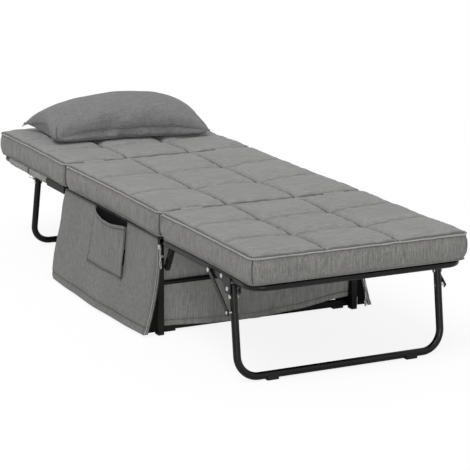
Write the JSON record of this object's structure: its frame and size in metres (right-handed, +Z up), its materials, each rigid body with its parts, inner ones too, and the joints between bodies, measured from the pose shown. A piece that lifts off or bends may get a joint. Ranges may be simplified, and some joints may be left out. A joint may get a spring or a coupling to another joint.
{
  "type": "convertible chair bed",
  "caption": "Folding chair bed laid flat: tufted cushions on hinged steel frames, with folding U legs, side skirts with pockets, and a pillow.",
  "frame": {"origin": "on the floor, below the centre of the overall box", "axes": "+Z up, +Y towards the head end along the length, +X to the right seen from the foot end"},
  "size_m": [0.7876, 1.92, 0.5166],
  "materials": {
    "frame_steel": "satin",
    "bolt_steel": "satin",
    "black_plastic": "matt",
    "cushion": "matt",
    "pillow_cloth": "matt",
    "skirt_cloth": "matt",
    "sleeve_cloth": "matt",
    "zip_tape": "matt",
    "zip_metal": "satin"
  },
  "bodies": {
    "base": {"base_side_frame_left": "frame_steel", "base_side_frame_right": "frame_steel", "base_floor_bars": "frame_steel", "base_mid_bar": "frame_steel", "base_feet": "black_plastic", "floor_bar_pads": "black_plastic", "seat_side_rails": "frame_steel", "seat_cross_rails": "frame_steel", "seat_slats": "frame_steel", "leg_brackets": "frame_steel", "leg_bracket_bolts": "bolt_steel", "leg_stop_studs": "bolt_steel", "middle_cushion": "cushion", "side_skirt_left": "skirt_cloth", "side_skirt_right": "skirt_cloth", "front_skirt": "skirt_cloth", "rear_skirt": "skirt_cloth", "side_pocket_left": "skirt_cloth", "side_pocket_right": "skirt_cloth", "zip_tapes": "zip_tape", "foot_hinge_seat_leaves": "frame_steel", "back_hinge_seat_leaves": "frame_steel", "seam_hinge_pins": "bolt_steel"},
    "foot_section": {"foot_frame": "frame_steel", "foot_rail_plugs": "black_plastic", "foot_cross_rail": "frame_steel", "foot_slats": "frame_steel", "foot_stop_arm_left": "frame_steel", "foot_stop_arm_right": "frame_steel", "foot_gusset_left": "frame_steel", "foot_gusset_right": "frame_steel", "foot_frame_bolts": "bolt_steel", "foot_hinge_leaves": "frame_steel", "foot_cushion": "cushion"},
    "back_section": {"back_frame": "frame_steel", "back_rail_plugs": "black_plastic", "back_cross_rails": "frame_steel", "back_slats": "frame_steel", "back_ratchet_left": "black_plastic", "back_ratchet_right": "black_plastic", "back_gusset_left": "frame_steel", "back_gusset_right": "frame_steel", "back_frame_bolts": "bolt_steel", "back_hinge_leaves": "frame_steel", "back_cushion": "cushion", "back_rail_sleeve_left": "sleeve_cloth", "back_rail_sleeve_right": "sleeve_cloth"},
    "front_leg": {"front_leg_tube": "frame_steel", "front_leg_pads": "black_plastic", "front_leg_bolts": "bolt_steel"},
    "rear_leg": {"rear_leg_tube": "frame_steel", "rear_leg_pads": "black_plastic", "rear_leg_bolts": "bolt_steel"},
    "brace_left": {"front_brace_left": "frame_steel"},
    "brace_right": {"front_brace_right": "frame_steel"},
    "pillow_body": {"pillow": "pillow_cloth"},
    "zip_slider_left_body": {"zip_slider_left": "zip_metal"},
    "zip_slider_right_body": {"zip_slider_right": "zip_metal"},
    "zip_pull_left_body": {"zip_pull_left": "zip_metal"},
    "zip_pull_right_body": {"zip_pull_right": "zip_metal"}
  },
  "joints": [
    {"name": "foot_fold", "type": "hinge", "parent": "base", "child": "foot_section", "pos_m": [0, -0.385, 0.366], "axis": [-1, 0, 0], "range_deg": [0, 150]},
    {"name": "back_recline", "type": "hinge", "parent": "base", "child": "back_section", "pos_m": [0, 0.345, 0.366], "axis": [1, 0, 0], "range_deg": [0, 80]},
    {"name": "front_leg_fold", "type": "hinge", "parent": "foot_section", "child": "front_leg", "pos_m": [0, -0.825, 0.254], "axis": [1, 0, 0], "range_deg": [0, 98]},
    {"name": "rear_leg_fold", "type": "hinge", "parent": "back_section", "child": "rear_leg", "pos_m": [0, 0.716, 0.254], "axis": [-1, 0, 0], "range_deg": [0, 105]},
    {"name": "brace_left_lift", "type": "hinge", "parent": "foot_section", "child": "brace_left", "pos_m": [-0.3345, -0.72, 0.2815], "axis": [1, 0, 0], "range_deg": [-38.81, 0.5]},
    {"name": "brace_right_lift", "type": "hinge", "parent": "foot_section", "child": "brace_right", "pos_m": [0.3345, -0.72, 0.2815], "axis": [1, 0, 0], "range_deg": [-38.81, 0.5]},
    {"name": "pillow_lift", "type": "slide", "parent": "back_section", "child": "pillow_body", "axis": [0, 0, 1], "range_m": [0, 0.15]},
    {"name": "zip_slide_left", "type": "slide", "parent": "base", "child": "zip_slider_left_body", "axis": [-0.0936, 0, -0.9956], "range_m": [0, 0.1364]},
    {"name": "zip_slide_right", "type": "slide", "parent": "base", "child": "zip_slider_right_body", "axis": [-0.1672, 0, 0.9859], "range_m": [0, 0.1263]},
    {"name": "zip_pull_left_swing", "type": "hinge", "parent": "zip_slider_left_body", "child": "zip_pull_left_body", "pos_m": [-0.32477, -0.3813, 0.2617], "axis": [-1, 0, 0], "range_deg": [0, 75]},
    {"name": "zip_pull_right_swing", "type": "hinge", "parent": "zip_slider_right_body", "child": "zip_pull_right_body", "pos_m": [0.3501, -0.3813, 0.06926], "axis": [-1, 0, 0], "range_deg": [0, 75]}
  ],
  "couplings": [
    {"joint": "brace_left_lift", "follows": "front_leg_fold", "ratio": -0.39094},
    {"joint": "brace_right_lift", "follows": "front_leg_fold", "ratio": -0.39094}
  ]
}
